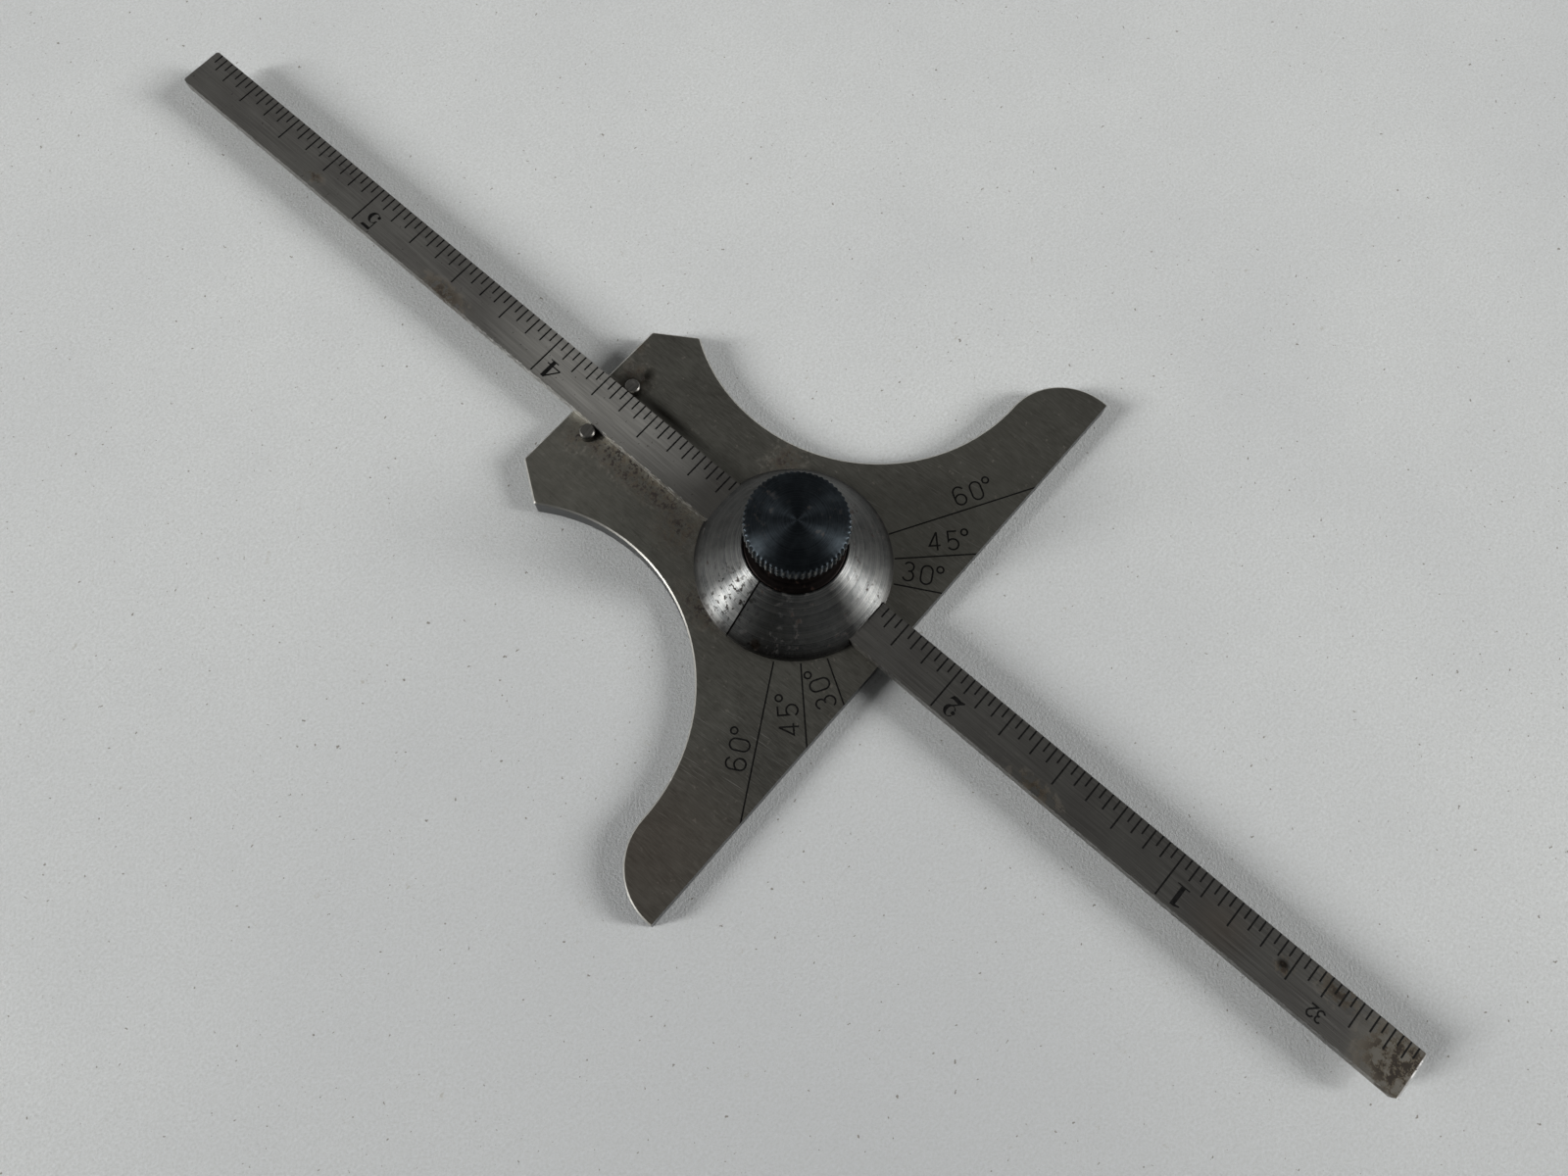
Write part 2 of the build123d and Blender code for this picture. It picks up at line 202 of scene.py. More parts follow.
# Where the painted shade on the pins' walls ends, just below their tops, and how it deepens from
# the left pin's outer side to its inner side:
PIN_RIM = (pin_top - 0.12, pin_top - 0.04)
LEFT_PIN = (-3.6, -2.6)
PIN_WALL_SHADE = (0.5, 0.95)

# Distance from the pivot at which the crests of the nut's knurl are rubbed:
NUT_CREST = (nut_radius - 0.06, nut_radius - 0.01)

# How far a face of the head looks upwards, with 1 as straight up. The broken edges, painted bright
# as a highlight, lie between the walls, painted in shade, and the top, and each pair is where one
# gives way to the next:
TOP_UPWARD = (0.93, 0.97)
EDGE_UPWARD = (0.3, 0.4)
WALL_UPWARD = (0.1, 0.2)

# Where the paper is a little darker, in a painted shadow to the left of the rule's zero end:
SHADED_PAPER = ((-45, -38), (75, 105), 1)

# Fine lines run along the object, so that their highlight spreads across it
ACROSS = (1, 0, 0)
OBJECT_TO_WORLD = {"vector_type": "VECTOR", "convert_from": "OBJECT", "convert_to": "WORLD"}

# How deep the patterns are, and how strongly they show as bump
LINE_DEPTH = 0.004
FILLING_DEPTH = 0.005
TOOTH_DEPTH = 0.08
FINE_BUMP = 0.3
PAPER_BUMP = 0.5


def ground_tool_steel():
    """Ground tool steel, oiled and aged: dull olive grey, with fine lines along the neck, brown
    stains, dark specks and oil, painted shade on the walls and beside the rule and pins, and
    painted highlights on the broken edges."""
    material, tree, at = begin("ground_tool_steel")
    # Grinding lines are about 0.05 mm apart; they are drawn a little coarser so that they show
    lines = grain(tree, at, 0.08, 0.36, 0.68, roughness=0.75, stretch=(1, 14, 1), turn=2)
    faint_lines = grain(tree, at, 0.16, 0.5, 0.68, stretch=(1, 18, 1), turn=-4)
    scratches = grain(tree, at, 0.1, 0.66, 0.74, detail=1, stretch=(1, 40, 1), turn=9)
    blend = grain(tree, at, 10, 0.38, 0.62, detail=4)
    clouds = grain(tree, at, 2.4, 0.46, 0.66, detail=6, roughness=0.7)
    stained = patches(tree, at, *HEAD_STAINS)
    mottle = grain(tree, at, 0.8, 0.45, 0.58, detail=7, roughness=0.8)
    specks = grain(tree, at, 0.36, 0.53, 0.56, detail=5, roughness=0.65)
    stray_specks = grain(tree, at, 0.45, 0.68, 0.71, detail=2)
    # How far a face looks upwards tells the top, the broken edges and the walls apart, so that the
    # walls get painted shade and the broken edges a painted highlight
    normal = add(tree, "ShaderNodeNewGeometry").outputs["Normal"]
    upward = add(tree, "ShaderNodeSeparateXYZ", [normal]).outputs["Z"]
    off_the_top = add(tree, "ShaderNodeMapRange", [upward, *TOP_UPWARD, 1, 0])
    off_the_wall = add(tree, "ShaderNodeMapRange", [upward, *EDGE_UPWARD])
    shaded_wall = add(tree, "ShaderNodeMapRange", [upward, *WALL_UPWARD, 1, 0])
    colour = layered(
        tree, "6c6a62",
        ("7e7d74", blend),
        ("5b5a52", clouds, 0.5),
        ("4f4d49", patches(tree, at, DARK_BY_LABELS), 0.45),
        ("98958a", patches(tree, at, PALE_TAIL), 0.6, layered(tree, 0.5, (1.0, mottle))),
        ("858379", patches(tree, at, PALE_RIGHT_WING), 0.4),
        ("9a9992", lines, 0.42),
        ("504d47", faint_lines, 0.25),
        ("a3a19b", scratches, 0.2),
        ("b5b3ad", scratches, patches(tree, at, *LABEL_SCRATCHES), 0.5),
        ("74665c", patches(tree, at, BROWN_WING_TIP), 0.4),
        ("544636", mottle, stained, 0.65),
        ("1f150d", specks, stained),
        # Dark oil, and painted shade beside the rule and the left pin
        ("1a1610", patches(tree, at, *OILY_AND_SHADED), 0.85),
        ("2f2822", stray_specks, 0.7),
        # Painted shade on the walls, in dark blue grey
        ("44474d", shaded_wall, 0.7),
        # Painted highlight on the broken edges between the walls and the top
        ("bfbdb6", off_the_top, off_the_wall),
    )
    roughness = layered(tree, 0.35, (0.42, lines), (0.55, mottle, stained), (0.7, specks, stained))
    line_relief = {"Height": lines, "Strength": FINE_BUMP, "Distance": LINE_DEPTH * MM}
    complete(tree, {
        "Base Color": colour,
        "Roughness": roughness,
        "Metallic": layered(tree, 1.0, (0.1, specks, stained), (0.2, stray_specks)),
        "Normal": add(tree, "ShaderNodeBump", line_relief),
        "Anisotropic": 0.35,
        "Tangent": add(tree, "ShaderNodeVectorTransform", [ACROSS], **OBJECT_TO_WORLD),
    })
    return material


def brushed_rule_steel():
    """Spring steel brushed along its length: dark with age, rubbed bright by the pins, with a worn
    left edge painted bright as a highlight, a painted highlight on the edge of its zero end, and
    rust at its zero end."""
    material, tree, at = begin("brushed_rule_steel")
    # Brushed lines are about 0.05 mm apart; they are drawn a little coarser so that they show
    brushing = grain(tree, at, 0.08, 0.34, 0.68, roughness=0.7, stretch=(1, 110, 1))
    streaks = grain(tree, at, 0.2, 0.35, 0.65, roughness=0.7, stretch=(1, 35, 1))
    clouds = grain(tree, at, 4, 0.38, 0.62, detail=4)
    rusty = patches(tree, at, *RULE_RUST)
    rust = grain(tree, at, 0.95, 0.51, 0.545, detail=6, roughness=0.68)
    rust_fringe = grain(tree, at, 0.95, 0.46, 0.53, detail=6, roughness=0.68)
    pits = grain(tree, at, 0.42, 0.67, 0.71)
    x, y, _ = add(tree, "ShaderNodeSeparateXYZ", [at]).outputs
    end_edge_highlight = add(tree, "ShaderNodeMapRange", [y, *RULE_END_HIGHLIGHT, 1, 0])
    left_edge = add(tree, "ShaderNodeMapRange", [x, *RULE_LEFT_EDGE, 1, 0])
    chipped = grain(tree, at, 0.4, 0.5, 0.58, detail=4, roughness=0.7, stretch=(1, 2, 1))
    worn = layered(tree, 0.25, (1.0, patches(tree, at, WORN_GLINTING_EDGE)))
    colour = layered(
        tree, "716f6b",
        ("7c7b76", clouds),
        ("9a9893", brushing, 0.5),
        ("5b5955", streaks, 0.35),
        ("5c5a56", patches(tree, at, *RULE_DARK), 0.7),
        ("bdbbb5", patches(tree, at, RUBBED_BY_PINS), layered(tree, 0.45, (1.0, streaks))),
        # The worn left edge, painted brighter as a highlight
        ("dad9d5", left_edge, chipped, worn),
        ("7d7062", patches(tree, at, RULE_TARNISH), 0.35),
        ("a09a8e", patches(tree, at, RUSTY_END), 0.55),
        ("5e5036", rust_fringe, rusty, 0.7),
        ("241c12", rust, rusty),
        ("1f160d", patches(tree, at, RULE_BLOTCH), 0.85),
        # Painted highlight along the edge of the zero end
        ("f2f1ee", end_edge_highlight, 0.9),
        ("1f1a16", pits, 0.8),
    )
    line_relief = {"Height": brushing, "Strength": FINE_BUMP, "Distance": LINE_DEPTH * MM}
    complete(tree, {
        "Base Color": colour,
        "Roughness": layered(tree, 0.34, (0.42, brushing), (0.7, rust, rusty)),
        "Metallic": layered(tree, 1.0, (0.2, rust, rusty), (0.1, pits, 0.8)),
        "Normal": add(tree, "ShaderNodeBump", line_relief),
        "Anisotropic": 0.6,
        "Tangent": add(tree, "ShaderNodeVectorTransform", [ACROSS], **OBJECT_TO_WORLD),
    })
    return material


def turned(name, light, dark, roughness, rings, ring_depth, fan, stain, share, marks=None):
    """Steel turned on a lathe, in two tones: rings round the pivot of a width and depth in
    millimetres, a sheen that fans out as strongly as asked, and a share of stains. Marks gives
    more layers for its colour."""
    material, tree, at = begin(name)
    from_pivot = {"Vector": at, "Location": tuple(pivot)}
    arm = add(tree, "ShaderNodeMapping", from_pivot, vector_type="TEXTURE")
    flat = add(tree, "ShaderNodeVectorMath", [arm, (1, 1, 0)], operation="MULTIPLY")
    reach = add(tree, "ShaderNodeVectorMath", [flat], operation="LENGTH")
    height = add(tree, "ShaderNodeSeparateXYZ", [at]).outputs["Z"]
    section = add(tree, "ShaderNodeCombineXYZ", [reach, height])
    tool_marks = grain(tree, section, rings, 0.36, 0.64, roughness=0.7)
    clouds = grain(tree, at, 1.1, 0.4, 0.62, detail=4)
    specks = grain(tree, at, 0.66, 0.57, 0.63, detail=5, roughness=0.65)
    where = grain(tree, at, 3.5, 0.46, 0.6, detail=2)
    layers = [(light, tool_marks, 0.75), (light, clouds, 0.3), (stain, specks, where, share)]
    if marks:
        layers += marks(tree, arm, section)
    ring_relief = {"Height": tool_marks, "Strength": FINE_BUMP, "Distance": ring_depth * MM}
    complete(tree, {
        "Base Color": layered(tree, dark, *layers),
        "Roughness": layered(
            tree, roughness - 0.04,
            (roughness + 0.05, tool_marks, 0.5),
            (roughness + 0.08, clouds, 0.4),
            (0.6, specks, where, share),
        ),
        "Metallic": layered(tree, 1.0, (0.2, specks, where, share)),
        "Normal": add(tree, "ShaderNodeBump", ring_relief),
        "Anisotropic": fan,
        "Anisotropic Rotation": 0.25,
        "Tangent": add(tree, "ShaderNodeTangent", direction_type="RADIAL", axis="Z"),
    })
    return material


# The next three give marks for turned steel. Arm is the place measured from the pivot, and
# section has the distance from the pivot's axis as X and the height as Y.
def turret_marks(tree, arm, section):
    """The turret's single black line, painted shade round its foot, where it meets the plate, and
    the rust on its left side.
    """
    x, y, _ = add(tree, "ShaderNodeSeparateXYZ", [arm]).outputs
    beside = add(tree, "ShaderNodeMath", [y], operation="ABSOLUTE")
    on_line = add(tree, "ShaderNodeMapRange", [beside, *TURRET_LINE_EDGE, 1, 0])
    on_the_left = add(tree, "ShaderNodeMapRange", [x, *TURRET_LINE_START])
    reach = add(tree, "ShaderNodeSeparateXYZ", [section]).outputs["X"]
    foot_shade = add(tree, "ShaderNodeMapRange", [reach, *TURRET_FOOT_SHADE])
    rust = grain(tree, arm, 0.5, 0.55, 0.6, detail=4)
    return [
        # Painted shade round the foot, where the cone meets the plate
        ("2b2927", foot_shade, 0.7),
        ("120d0a", rust, patches(tree, arm, *TURRET_RUST), 0.95),
        ("463426", patches(tree, arm, TURRET_SPOT), 0.6),
        ("0d0c0b", on_line, on_the_left),
    ]


def shaded_pin_wall(tree, arm, section):
    """Painted shade on the wall of a pin, below its top, with least of it on the outer side of the
    left pin."""
    height = add(tree, "ShaderNodeSeparateXYZ", [section]).outputs["Y"]
    below = add(tree, "ShaderNodeMapRange", [height, *PIN_RIM, 1, 0])
    x = add(tree, "ShaderNodeSeparateXYZ", [arm]).outputs["X"]
    pin_shade = add(tree, "ShaderNodeMapRange", [x, *LEFT_PIN, *PIN_WALL_SHADE])
    # Painted shade on the pin's wall
    return [("16130f", below, pin_shade)]


def worn_crests(tree, arm, section):
    """Smudges on the nut, and the crests of its knurl, where the oxide is rubbed through."""
    reach = add(tree, "ShaderNodeSeparateXYZ", [section]).outputs["X"]
    crest = add(tree, "ShaderNodeMapRange", [reach, *NUT_CREST])
    smudges = grain(tree, arm, 2.2, 0.5, 0.66, detail=4, roughness=0.65)
    patchy = grain(tree, arm, 0.5, 0.42, 0.6, detail=2)
    return [("4d555a", smudges, 0.35), ("8e8d88", crest, patchy, 0.7)]


def black_line_filling():
    """Black filling in engraved marks: dull, a little worn."""
    material, tree, at = begin("black_line_filling")
    worn = grain(tree, at, 0.33, 0.4, 0.7, detail=4)
    wear_relief = {"Height": worn, "Strength": FINE_BUMP, "Distance": FILLING_DEPTH * MM}
    complete(tree, {
        "Base Color": layered(tree, "050505", ("141312", worn)),
        "Roughness": layered(tree, 0.5, (0.8, worn)),
        "Specular IOR Level": 0.1,
        "Normal": add(tree, "ShaderNodeBump", wear_relief),
    })
    return material


def heavy_paper():
    """Heavy white paper: matt, with a tooth of about a quarter of a millimetre, faint smudges, a
    few flecks and a painted shadow."""
    material, tree, at = begin("heavy_paper")
    tooth = grain(tree, at, 0.26, 0.3, 0.7, roughness=0.7)
    clouds = grain(tree, at, 33, 0.35, 0.7, detail=5)
    smudges = grain(tree, at, 2.6, 0.63, 0.67, detail=8, roughness=0.82)
    flecks = grain(tree, at, 0.6, 0.71, 0.73, detail=2)
    colour = layered(
        tree, "d2d4d3",
        ("c9cbcb", clouds),
        # Painted shadow on the paper
        ("b3b5b7", patches(tree, at, SHADED_PAPER), 0.95),
        ("a9aaa7", tooth, 0.6),
        ("a19d92", smudges, 0.6),
        ("6c665a", flecks, 0.8),
    )
    tooth_relief = {"Height": tooth, "Strength": PAPER_BUMP, "Distance": TOOTH_DEPTH * MM}
    complete(tree, {
        "Base Color": colour,
        "Roughness": 0.9,
        "Normal": add(tree, "ShaderNodeBump", tooth_relief),
    })
    return material


# The rings of a fine cut are about 0.05 mm apart, and all of these are drawn coarser, so that they
# show.

# Black oxide over turned steel: nearly black, slightly blue, with a soft fanned sheen
black_oxide_steel = turned(
    "black_oxide_steel", light="3a4045", dark="23272a", roughness=0.42, rings=0.08,
    ring_depth=0.006, fan=0.75, stain="4a3b2e", share=0.3, marks=worn_crests,
)
# Dowel pins, ground all over: even grey, with painted shade on their walls
ground_dowel_steel = turned(
    "ground_dowel_steel", light="8a8883", dark="65635f", roughness=0.36, rings=0.1,
    ring_depth=0.002, fan=0.0, stain="2a1c14", share=0.4, marks=shaded_pin_wall,
)
# The turret's bright turned steel: two long highlights down the cone, and dark between them
turned_tool_steel = turned(
    "turned_tool_steel", light="8d8d8a", dark="4c4e4f", roughness=0.36, rings=0.1,
    ring_depth=0.012, fan=0.93, stain="2a1c14", share=0.9, marks=turret_marks,
)
# The washer's oxide, worn and browned: dark, with little sheen
worn_black_oxide = turned(
    "worn_black_oxide", light="322c2a", dark="1d1a19", roughness=0.45, rings=0.12,
    ring_depth=0.004, fan=0.4, stain="4a3226", share=0.5,
)
# Hidden pieces stay oiled, so they are brighter and have few stains
machined_stud_steel = turned(
    "machined_stud_steel", light="9a9893", dark="7a7873", roughness=0.32, rings=0.08,
    ring_depth=0.003, fan=0.5, stain="2a1c14", share=0.3,
)
rolled_spring_steel = turned(
    "rolled_spring_steel", light="8b8a88", dark="6f6e6c", roughness=0.3, rings=0.2,
    ring_depth=0.003, fan=0.3, stain="2a1c14", share=0.2,
)
FINISHES = {
    "head_plate": ground_tool_steel(),
    "guide_pin_left": ground_dowel_steel,
    "guide_pin_right": ground_dowel_steel,
    "rule_blade": brushed_rule_steel(),
    "turret": turned_tool_steel,
    "thrust_washer": worn_black_oxide,
    "clamp_stud": machined_stud_steel,
    "disc_spring": rolled_spring_steel,
}
for node, material in FINISHES.items():
    nodes[node].material_slots[0].material = material


def new_piece(name, mesh, body, replaced=None):
    """An object that rides on a body, keeps the finish its mesh already has, and may stand for a
    CAD node, which it hides.
    """
    piece = bpy.data.objects.new(name, mesh)
    bpy.context.scene.collection.objects.link(piece)
    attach(piece, body)
    if replaced:
        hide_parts(replaced)


def mesh_from(work, name):
    """A mesh of the worked faces, which all face outwards."""
    bmesh.ops.recalc_face_normals(work, faces=work.faces)
    mesh = bpy.data.meshes.new(name)
    work.to_mesh(mesh)
    work.free()
    return mesh


def new_tree(name, sizes, geometry=()):
    """An empty geometry node tree with named inputs, and the outputs of its input node."""
    tree = bpy.data.node_groups.new(name, "GeometryNodeTree")
    for title in geometry:
        tree.interface.new_socket(title, in_out="INPUT", socket_type="NodeSocketGeometry")
    for title, value in sizes.items():
        kind = "NodeSocketInt" if isinstance(value, int) else "NodeSocketFloat"
        tree.interface.new_socket(title, in_out="INPUT", socket_type=kind)
    tree.interface.new_socket("Geometry", in_out="OUTPUT", socket_type="NodeSocketGeometry")
    return tree, add(tree, "NodeGroupInput").outputs


def end_tree(tree, geometry, material):
    """Real geometry with its finish, as the tree's result."""
    real = add(tree, "GeometryNodeRealizeInstances", [geometry])
    finished = add(tree, "GeometryNodeSetMaterial", {"Geometry": real, "Material": material})
    add(tree, "NodeGroupOutput", [finished])


def grown(name, tree, sizes, points=()):
    """The plain mesh that a geometry node tree makes, from some points where it needs them."""
    seed_mesh = bpy.data.meshes.new(name + "_seed")
    seed_mesh.from_pydata([tuple(point) for point in points], [], [])
    seed = bpy.data.objects.new(name + "_seed", seed_mesh)
    bpy.context.scene.collection.objects.link(seed)
    modifier = seed.modifiers.new(name, "NODES")
    modifier.node_group = tree
    for item in tree.interface.items_tree:
        if item.in_out == "INPUT" and item.name in sizes:
            modifier[item.identifier] = sizes[item.name]
    graph = bpy.context.evaluated_depsgraph_get()
    mesh = bpy.data.meshes.new_from_object(seed.evaluated_get(graph))
    bpy.data.objects.remove(seed)
    mesh.name = name
    return mesh


# Filling of the engraved marks. The lines of the rule are bars that a tree sets out, and the
# figures and the head's marks follow the floors of the engraving.
filling = black_line_filling()
RULE_MARK_DEPTH = 0.05
HEAD_MARK_DEPTH = 0.08
FIGURE_FILLING_BELOW = 0.012
HEAD_FILLING_BELOW = 0.025
# The rule's lines reach its edge, so what comes this near to it is left to the bars
EDGE_MARGIN = 0.01
# A mark's floor looks up at least this far, and its points are this near to its depth. Doubled
# points that are nearer than the weld become one.
FLOOR_UPWARD = 0.99
FLOOR_LEVEL = 0.002
FLOOR_WELD = 0.0005
INCH = 25.4
LINES_PER_INCH = 32
LINE_END_GAP = 0.005
SHORTEST_LINE = 1.15
# Every so many lines, one of this length
LONGER_LINES = ((2, 1.75), (4, 2.15), (8, 2.65), (16, 3.0), (32, 4.6))
line_sizes = {
    "Lines": round((rule_high.y - rule_low.y) / MM / INCH) * LINES_PER_INCH - 1,
    "Step": INCH / LINES_PER_INCH * MM,
    "Width": 0.16 * MM,
    "Depth": 0.038 * MM,
}


def graduation_tree(sizes, material):
    """Bars along the rule's edge: a row of points, each with a bar as long as its number asks."""
    tree, given = new_tree("graduation_lines", sizes)
    step = add(tree, "ShaderNodeCombineXYZ", {"Y": given["Step"]})
    corner = (rule_high.x - LINE_END_GAP * MM, rule_low.y, rule_high.z - RULE_MARK_DEPTH * MM)
    start = add(tree, "ShaderNodeVectorMath", [step, corner], operation="ADD")
    row = {"Count": given["Lines"], "Start Location": start, "Offset": step}
    points = add(tree, "GeometryNodeMeshLine", row)
    index = add(tree, "GeometryNodeInputIndex")
    number = add(tree, "ShaderNodeMath", [index, 1], operation="ADD")
    length = SHORTEST_LINE * MM
    for every, longer in LONGER_LINES:
        rest = add(tree, "ShaderNodeMath", [number, every], operation="MODULO")
        fits = add(tree, "ShaderNodeMath", [rest, 0.5], operation="LESS_THAN")
        length = add(tree, "GeometryNodeSwitch", [fits, length, longer * MM], input_type="FLOAT")
    size = add(tree, "ShaderNodeCombineXYZ", [length, given["Width"], given["Depth"]])
    block = add(tree, "GeometryNodeMeshCube", {"Size": (1, 1, 1)})
    # A bar runs from its point to the left and stands on it
    bar = add(tree, "GeometryNodeTransform", {"Geometry": block, "Translation": (-0.5, 0, 0.5)})
    placed = {"Points": points, "Instance": bar, "Scale": size}
    end_tree(tree, add(tree, "GeometryNodeInstanceOnPoints", placed), material)
    return tree


def filled_marks(name, node, body, depth, below, edge=math.inf):
    """Black filling in a node's engraved marks, from their floors to just below the top. What
    reaches past an edge at x is left out."""
    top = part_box(node)[1].z
    mark_floor = top - depth * MM
    work = bmesh.new()
    work.from_mesh(nodes[node].data)
    rest = [
        face for face in work.faces
        if face.normal.z < FLOOR_UPWARD
        or any(abs(v.co.z - mark_floor) > FLOOR_LEVEL * MM or v.co.x > edge for v in face.verts)
    ]
    bmesh.ops.delete(work, geom=rest, context="FACES")
    bmesh.ops.remove_doubles(work, verts=work.verts, dist=FLOOR_WELD * MM)
    for raised in bmesh.ops.extrude_face_region(work, geom=work.faces[:])["geom"]:
        if isinstance(raised, bmesh.types.BMVert):
            raised.co.z = top - below * MM
    mesh = mesh_from(work, name)
    mesh.materials.append(filling)
    new_piece(name, mesh, body)


line_mesh = grown("rule_line_filling", graduation_tree(line_sizes, filling), line_sizes)
new_piece("rule_line_filling", line_mesh, "rule")
filled_marks(
    "rule_figure_filling", "rule_blade", "rule", RULE_MARK_DEPTH, FIGURE_FILLING_BELOW,
    edge=rule_high.x - EDGE_MARGIN * MM,
)
filled_marks("head_mark_filling", "head_plate", "head", HEAD_MARK_DEPTH, HEAD_FILLING_BELOW)

# Lock nut: a crowned, knurled head on a plain hub, with a blind bore
NUT_HUB_RADIUS = 3.3
NUT_HUB_CHAMFER = 0.1
NUT_HEAD_HEIGHT = 2.2
NUT_HEAD_CHAMFER = 0.15
NUT_BORE_RADIUS = 2.43
NUT_BORE_BELOW_TOP = 1.2
NUT_CROWNING = 0.35
NUT_CROWN_STEPS = 14
NUT_RIM_ROUNDING = 0.3
NUT_RIM_TURNS = (0.4, 0.8, 1.2, math.pi / 2)
NUT_SIDE_HEIGHTS = (0.8, 0.2)
NUT_SEAM_WELD = 0.001
NUT_SHARP_ANGLE = 28
# Half of a crest's width, with the spacing of the grooves as 1
KNURL_CREST = 0.06
knurl_sizes = {
    "Grooves": 54,
    "Steps": 8,
    "Groove depth": 0.14 * MM,
    "Rim radius": nut_radius * MM,
    "Rim width": 0.35 * MM,
}


def nut_section():
    """Half of the nut's section as radius and height, from the middle of its top round to the
    middle of its bore."""
    top, low = nut_high.z / MM, nut_low.z / MM
    under = top - NUT_HEAD_HEIGHT
    bore_end = top - NUT_BORE_BELOW_TOP
    edge = nut_radius - NUT_RIM_ROUNDING
    shares = [step / NUT_CROWN_STEPS for step in range(NUT_CROWN_STEPS + 1)]
    face = [(edge * share, top - NUT_CROWNING * share ** 3) for share in shares]
    rim = [
        (
            edge + NUT_RIM_ROUNDING * math.sin(turn),
            top - NUT_CROWNING - NUT_RIM_ROUNDING * (1 - math.cos(turn)),
        )
        for turn in NUT_RIM_TURNS
    ]
    side = [(nut_radius, under + height) for height in NUT_SIDE_HEIGHTS]
    side += [(nut_radius - NUT_HEAD_CHAMFER, under)]
    hub = [(NUT_HUB_RADIUS, under), (NUT_HUB_RADIUS, low + NUT_HUB_CHAMFER)]
    hub += [(NUT_HUB_RADIUS - NUT_HUB_CHAMFER, low)]
    bore = [(NUT_BORE_RADIUS, low), (NUT_BORE_RADIUS, bore_end), (0, bore_end)]
    outline = face + rim + side + hub + bore
    return [Vector((radius, 0, height)) * MM for radius, height in outline]


def knurled_nut_tree(sizes, material):
    """A grid wrapped round the pivot: each row follows a point of the section, and the rim dips at
    each groove."""
    tree, given = new_tree("knurled_nut", sizes, ["Section"])
    section = {"Geometry": given["Section"]}
    rows = add(tree, "GeometryNodeAttributeDomainSize", section).outputs["Point Count"]
    round_the_nut = [given["Grooves"], given["Steps"]]
    columns = add(tree, "ShaderNodeMath", round_the_nut, operation="MULTIPLY")
    edges = add(tree, "ShaderNodeMath", [columns, 1], operation="ADD")
    grid = add(tree, "GeometryNodeMeshGrid", {"Vertices X": edges, "Vertices Y": rows})
    # The grid's points are numbered row by row within each column
    index = add(tree, "GeometryNodeInputIndex")
    row = add(tree, "ShaderNodeMath", [index, rows], operation="MODULO")
    middle = add(tree, "ShaderNodeMath", [index, 0.5], operation="ADD")
    columns_passed = add(tree, "ShaderNodeMath", [middle, rows], operation="DIVIDE")
    column = add(tree, "ShaderNodeMath", [columns_passed], operation="FLOOR")
    share = add(tree, "ShaderNodeMath", [column, columns], operation="DIVIDE")
    angle = add(tree, "ShaderNodeMath", [share, 2 * math.pi], operation="MULTIPLY")
    sampled = [given["Section"], add(tree, "GeometryNodeInputPosition"), row]
    point = add(tree, "GeometryNodeSampleIndex", sampled, data_type="FLOAT_VECTOR")
    radius, _, height = add(tree, "ShaderNodeSeparateXYZ", [point]).outputs
    # Each groove is a V between narrow crests, and runs out where the rim ends
    grooves_passed = add(tree, "ShaderNodeMath", [column, given["Steps"]], operation="DIVIDE")
    off_crest = add(tree, "ShaderNodeMath", [grooves_passed, 0.5], operation="PINGPONG")
    dip = [off_crest, KNURL_CREST, 0.5, 0, given["Groove depth"]]
    groove = add(tree, "ShaderNodeMapRange", dip)
    rim_sizes = [given["Rim radius"], given["Rim width"]]
    inner = add(tree, "ShaderNodeMath", rim_sizes, operation="SUBTRACT")
    rim = add(tree, "ShaderNodeMapRange", [radius, inner, given["Rim radius"]])
    cut = add(tree, "ShaderNodeMath", [groove, rim], operation="MULTIPLY")
    reach = add(tree, "ShaderNodeMath", [radius, cut], operation="SUBTRACT")
    cosine = add(tree, "ShaderNodeMath", [angle], operation="COSINE")
    sine = add(tree, "ShaderNodeMath", [angle], operation="SINE")
    x = add(tree, "ShaderNodeMath", [reach, cosine], operation="MULTIPLY")
    y = add(tree, "ShaderNodeMath", [reach, sine], operation="MULTIPLY")
    spot = add(tree, "ShaderNodeCombineXYZ", [x, y, height])
    moved = add(tree, "ShaderNodeVectorMath", [spot, tuple(pivot * MM)], operation="ADD")
    wrapped = add(tree, "GeometryNodeSetPosition", {"Geometry": grid, "Position": moved})
    seam = {"Geometry": wrapped, "Distance": NUT_SEAM_WELD * MM}
    end_tree(tree, add(tree, "GeometryNodeMergeByDistance", seam), material)
    return tree


nut_tree = knurled_nut_tree(knurl_sizes, black_oxide_steel)
nut_work = bmesh.new()
nut_work.from_mesh(grown("lock_nut_grid", nut_tree, knurl_sizes, nut_section()))
nut_mesh = mesh_from(nut_work, "lock_nut_knurled")
nut_mesh.materials.append(black_oxide_steel)
nut_mesh.shade_smooth()
nut_mesh.set_sharp_from_angle(angle=math.radians(NUT_SHARP_ANGLE))
new_piece("lock_nut_knurled", nut_mesh, "nut", "lock_nut")

# Floor: one large sheet, a hair under the head
FLOOR_SIZE = 4000
FLOOR_GAP = 0.02
half = FLOOR_SIZE * MM / 2
floor_level = plate_low.z - FLOOR_GAP * MM
floor_outline = ((-half, -half), (half, -half), (half, half), (-half, half))
floor_mesh = bpy.data.meshes.new("paper_sheet")
floor_mesh.from_pydata([(x, y, floor_level) for x, y in floor_outline], [], [(0, 1, 2, 3)])
floor_mesh.materials.append(heavy_paper())
floor = bpy.data.objects.new("paper_sheet", floor_mesh)
bpy.context.scene.collection.objects.link(floor)

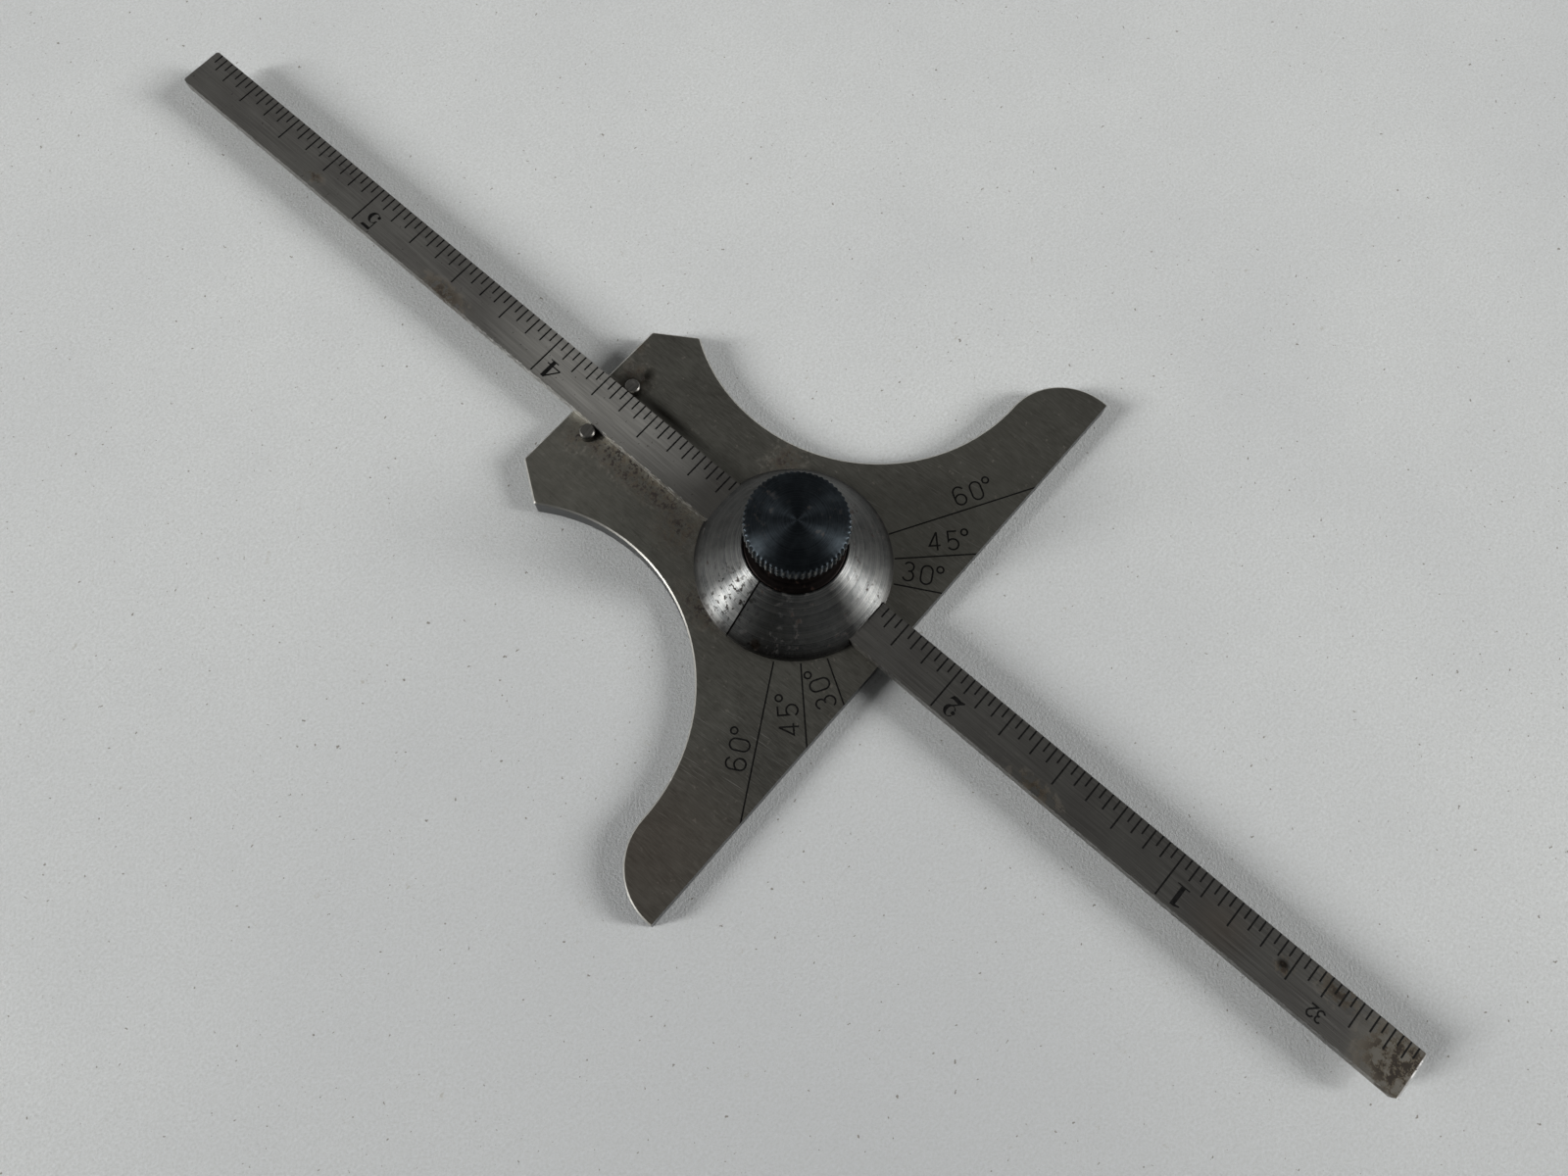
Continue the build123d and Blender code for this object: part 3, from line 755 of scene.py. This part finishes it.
# Camera, as solved from the rule's graduations in the picture, with its turn in degrees
CAMERA_PLACE = (-30.04, -9.7, 116.93)
CAMERA_TURN = (16.913, -1.109, -48.862)
camera_data = bpy.data.cameras.new("camera")
camera_data.lens = 29.1
camera_data.sensor_width = 36
camera_data.sensor_fit = "HORIZONTAL"
camera_data.clip_start = 5 * MM
camera_data.clip_end = 20
camera = bpy.data.objects.new("camera", camera_data)
camera.location = Vector(CAMERA_PLACE) * MM
camera.rotation_euler = Euler([math.radians(angle) for angle in CAMERA_TURN], "XYZ")
bpy.context.scene.collection.objects.link(camera)
bpy.context.scene.camera = camera


def softbox(name, azimuth, elevation, distance, width, height, power):
    """An upright softbox that looks at the pivot. Its azimuth is in degrees from +X towards +Y,
    its elevation in degrees, its distance and sizes in metres, and its power in watts."""
    data = bpy.data.lights.new(name, "AREA")
    data.shape = "RECTANGLE"
    data.size = width
    data.size_y = height
    data.energy = power
    lamp = bpy.data.objects.new(name, data)
    to_lamp = Vector((1, 0, 0))
    to_lamp.rotate(Euler((0, -math.radians(elevation), math.radians(azimuth)), "XYZ"))
    lamp.location = pivot * MM + to_lamp * distance
    lamp.rotation_euler = to_lamp.to_track_quat("Z", "Y").to_euler()
    bpy.context.scene.collection.objects.link(lamp)


# A narrow softbox on each side draws a highlight down the turret, and a wide dim one fills round it
softbox("left_softbox", azimuth=147, elevation=31, distance=6, width=0.9, height=2.6, power=270)
softbox("right_softbox", azimuth=-57, elevation=31, distance=6, width=0.9, height=2.6, power=240)
softbox("left_fill", azimuth=137, elevation=26, distance=6.1, width=5.0, height=2.0, power=62)
softbox("right_fill", azimuth=-57, elevation=26, distance=6.1, width=4.5, height=2.0, power=70)

# Studio: a dim room, darkest on the side where the camera stands, with a pale wall low down on the
# other side. Each range says what a measure's low and high end become.
BRIGHT_SIDE = (0.56, 0.32, 0.76)
ROOM_RANGE = (-0.1, 0.9, 0.009, 0.14)
WALL_SIDE = (0.8, 0.6, 0)
WALL_SIDE_RANGE = (-0.7, 0.7, 0.05, 1.0)
LOW_DOWN_RANGE = (0.15, 0.45, 1, 0)
WALL_STRENGTH = 0.6
SOFT_STEP = {"interpolation_type": "SMOOTHERSTEP"}
world = bpy.data.worlds.new("studio")
bpy.context.scene.world = world
world.use_nodes = True
room = world.node_tree
room.nodes.clear()
direction = add(room, "ShaderNodeTexCoord").outputs["Generated"]
brightness = add(room, "ShaderNodeVectorMath", [direction, BRIGHT_SIDE], operation="DOT_PRODUCT")
dim = add(room, "ShaderNodeMapRange", [brightness, *ROOM_RANGE])
towards_wall = add(room, "ShaderNodeVectorMath", [direction, WALL_SIDE], operation="DOT_PRODUCT")
wall_side = add(room, "ShaderNodeMapRange", [towards_wall, *WALL_SIDE_RANGE], **SOFT_STEP)
upwards = add(room, "ShaderNodeSeparateXYZ", [direction]).outputs["Z"]
off_level = add(room, "ShaderNodeMath", [upwards], operation="ABSOLUTE")
low_down = add(room, "ShaderNodeMapRange", [off_level, *LOW_DOWN_RANGE], **SOFT_STEP)
wall_share = layered(room, 0.0, (1.0, wall_side, low_down))
strength = add(room, "ShaderNodeMix", [wall_share, dim, WALL_STRENGTH], data_type="FLOAT")
background = add(room, "ShaderNodeBackground", {"Color": (1, 1, 1, 1), "Strength": strength})
add(room, "ShaderNodeOutputWorld", {"Surface": background})

bpy.context.scene.view_settings.view_transform = "Standard"
